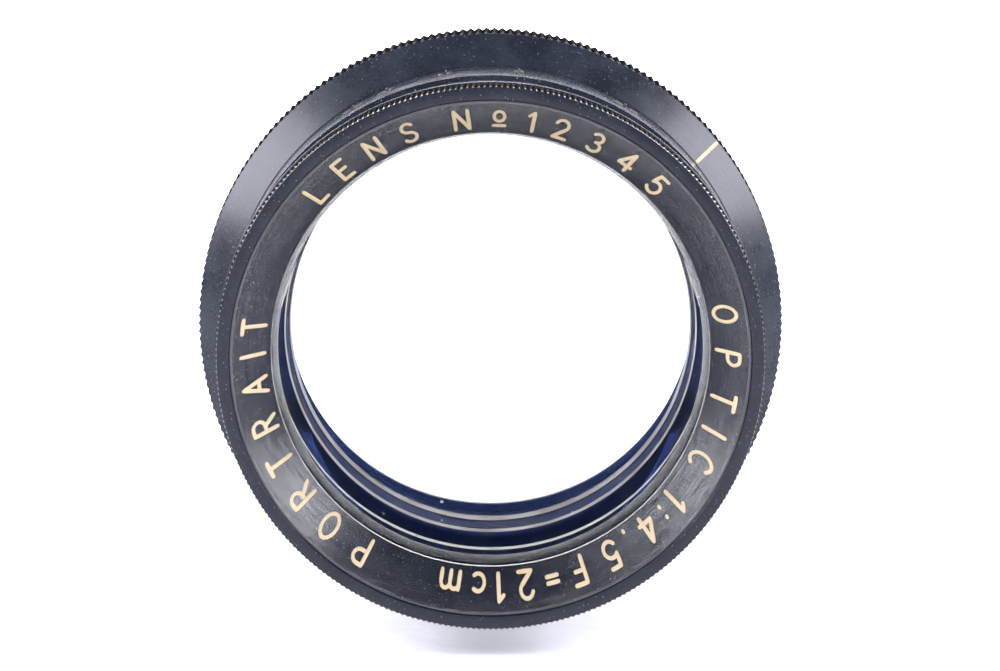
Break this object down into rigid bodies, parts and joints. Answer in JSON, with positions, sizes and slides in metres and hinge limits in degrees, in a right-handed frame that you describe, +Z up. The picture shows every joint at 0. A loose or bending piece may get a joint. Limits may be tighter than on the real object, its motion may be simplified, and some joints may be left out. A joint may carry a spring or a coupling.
{
  "type": "barrel-mounted portrait lens",
  "caption": "Black-lacquered brass barrel lens with a knurled bezel, a wide aperture ring with an index line, and a working blade iris.",
  "frame": {"origin": "on the optical axis, in the plane of the mounting seat at the back of the collar", "axes": "+Y along the optical axis towards the rear (the film), so the front glass faces -Y; +Z up, with the index line at rest to the upper right seen from the front"},
  "size_m": [0.0692, 0.0505, 0.0692],
  "materials": {
    "barrel_lacquer": "gloss black lacquer over brass",
    "bezel_lacquer": "gloss black lacquer over brass, worn to bare brass on the rim",
    "name_ring_lacquer": "gloss black lacquer over brass, cream engraving",
    "ring_lacquer": "gloss black lacquer over brass, one cream index line",
    "collar_lacquer": "gloss black lacquer over brass",
    "rear_cell_lacquer": "gloss black lacquer over brass",
    "front_glass": "polished optical glass with a blue coating",
    "second_glass": "polished optical glass with a blue coating",
    "rear_negative_glass": "polished optical glass",
    "rear_positive_glass": "polished optical glass with a blue coating",
    "inner_ring_black": "matt black inside paint",
    "screw_steel": "blued steel",
    "iris_brass": "chemically blackened brass",
    "blade_steel": "blued spring steel",
    "pin_brass": "turned brass"
  },
  "bodies": {
    "lens_barrel": {"barrel": "barrel_lacquer", "front_cell": "bezel_lacquer", "name_ring": "name_ring_lacquer", "front_element": "front_glass", "second_element": "second_glass", "second_element_ring": "inner_ring_black", "seat_collar": "collar_lacquer", "collar_screws": "screw_steel", "iris_stud_plate": "iris_brass", "iris_ring": "inner_ring_black", "rear_cell": "rear_cell_lacquer", "rear_negative_element": "rear_negative_glass", "rear_positive_element": "rear_positive_glass", "rear_element_ring": "inner_ring_black"},
    "aperture_ring": {"aperture_ring": "ring_lacquer", "drive_screw": "screw_steel", "iris_rotor": "iris_brass"},
    "blade_1": {"iris_blade_1": "blade_steel", "iris_blade_pins_1": "pin_brass"},
    "blade_2": {"iris_blade_2": "blade_steel", "iris_blade_pins_2": "pin_brass"},
    "blade_3": {"iris_blade_3": "blade_steel", "iris_blade_pins_3": "pin_brass"},
    "blade_4": {"iris_blade_4": "blade_steel", "iris_blade_pins_4": "pin_brass"},
    "blade_5": {"iris_blade_5": "blade_steel", "iris_blade_pins_5": "pin_brass"},
    "blade_6": {"iris_blade_6": "blade_steel", "iris_blade_pins_6": "pin_brass"},
    "blade_7": {"iris_blade_7": "blade_steel", "iris_blade_pins_7": "pin_brass"},
    "blade_8": {"iris_blade_8": "blade_steel", "iris_blade_pins_8": "pin_brass"},
    "blade_9": {"iris_blade_9": "blade_steel", "iris_blade_pins_9": "pin_brass"},
    "blade_10": {"iris_blade_10": "blade_steel", "iris_blade_pins_10": "pin_brass"},
    "blade_11": {"iris_blade_11": "blade_steel", "iris_blade_pins_11": "pin_brass"},
    "blade_12": {"iris_blade_12": "blade_steel", "iris_blade_pins_12": "pin_brass"}
  },
  "joints": [
    {"name": "aperture_ring_turn", "type": "hinge", "parent": "lens_barrel", "child": "aperture_ring", "pos_m": [0, -0.0078, 0], "axis": [0, -1, 0], "range_deg": [0, 83]},
    {"name": "blade_1_turn", "type": "hinge", "parent": "lens_barrel", "child": "blade_1", "pos_m": [0.0256, -0.01014, 0], "axis": [0, -1, 0], "range_deg": [0, 41.6]},
    {"name": "blade_2_turn", "type": "hinge", "parent": "lens_barrel", "child": "blade_2", "pos_m": [0.02217, -0.01014, 0.0128], "axis": [0, -1, 0], "range_deg": [0, 41.6]},
    {"name": "blade_3_turn", "type": "hinge", "parent": "lens_barrel", "child": "blade_3", "pos_m": [0.0128, -0.01014, 0.02217], "axis": [0, -1, 0], "range_deg": [0, 41.6]},
    {"name": "blade_4_turn", "type": "hinge", "parent": "lens_barrel", "child": "blade_4", "pos_m": [0, -0.01014, 0.0256], "axis": [0, -1, 0], "range_deg": [0, 41.6]},
    {"name": "blade_5_turn", "type": "hinge", "parent": "lens_barrel", "child": "blade_5", "pos_m": [-0.0128, -0.01014, 0.02217], "axis": [0, -1, 0], "range_deg": [0, 41.6]},
    {"name": "blade_6_turn", "type": "hinge", "parent": "lens_barrel", "child": "blade_6", "pos_m": [-0.02217, -0.01014, 0.0128], "axis": [0, -1, 0], "range_deg": [0, 41.6]},
    {"name": "blade_7_turn", "type": "hinge", "parent": "lens_barrel", "child": "blade_7", "pos_m": [-0.0256, -0.01014, 0], "axis": [0, -1, 0], "range_deg": [0, 41.6]},
    {"name": "blade_8_turn", "type": "hinge", "parent": "lens_barrel", "child": "blade_8", "pos_m": [-0.02217, -0.01014, -0.0128], "axis": [0, -1, 0], "range_deg": [0, 41.6]},
    {"name": "blade_9_turn", "type": "hinge", "parent": "lens_barrel", "child": "blade_9", "pos_m": [-0.0128, -0.01014, -0.02217], "axis": [0, -1, 0], "range_deg": [0, 41.6]},
    {"name": "blade_10_turn", "type": "hinge", "parent": "lens_barrel", "child": "blade_10", "pos_m": [0, -0.01014, -0.0256], "axis": [0, -1, 0], "range_deg": [0, 41.6]},
    {"name": "blade_11_turn", "type": "hinge", "parent": "lens_barrel", "child": "blade_11", "pos_m": [0.0128, -0.01014, -0.02217], "axis": [0, -1, 0], "range_deg": [0, 41.6]},
    {"name": "blade_12_turn", "type": "hinge", "parent": "lens_barrel", "child": "blade_12", "pos_m": [0.02217, -0.01014, -0.0128], "axis": [0, -1, 0], "range_deg": [0, 41.6]}
  ],
  "couplings": [
    {"joint": "blade_1_turn", "follows": "aperture_ring_turn", "ratio": 0.5},
    {"joint": "blade_2_turn", "follows": "aperture_ring_turn", "ratio": 0.5},
    {"joint": "blade_3_turn", "follows": "aperture_ring_turn", "ratio": 0.5},
    {"joint": "blade_4_turn", "follows": "aperture_ring_turn", "ratio": 0.5},
    {"joint": "blade_5_turn", "follows": "aperture_ring_turn", "ratio": 0.5},
    {"joint": "blade_6_turn", "follows": "aperture_ring_turn", "ratio": 0.5},
    {"joint": "blade_7_turn", "follows": "aperture_ring_turn", "ratio": 0.5},
    {"joint": "blade_8_turn", "follows": "aperture_ring_turn", "ratio": 0.5},
    {"joint": "blade_9_turn", "follows": "aperture_ring_turn", "ratio": 0.5},
    {"joint": "blade_10_turn", "follows": "aperture_ring_turn", "ratio": 0.5},
    {"joint": "blade_11_turn", "follows": "aperture_ring_turn", "ratio": 0.5},
    {"joint": "blade_12_turn", "follows": "aperture_ring_turn", "ratio": 0.5}
  ]
}
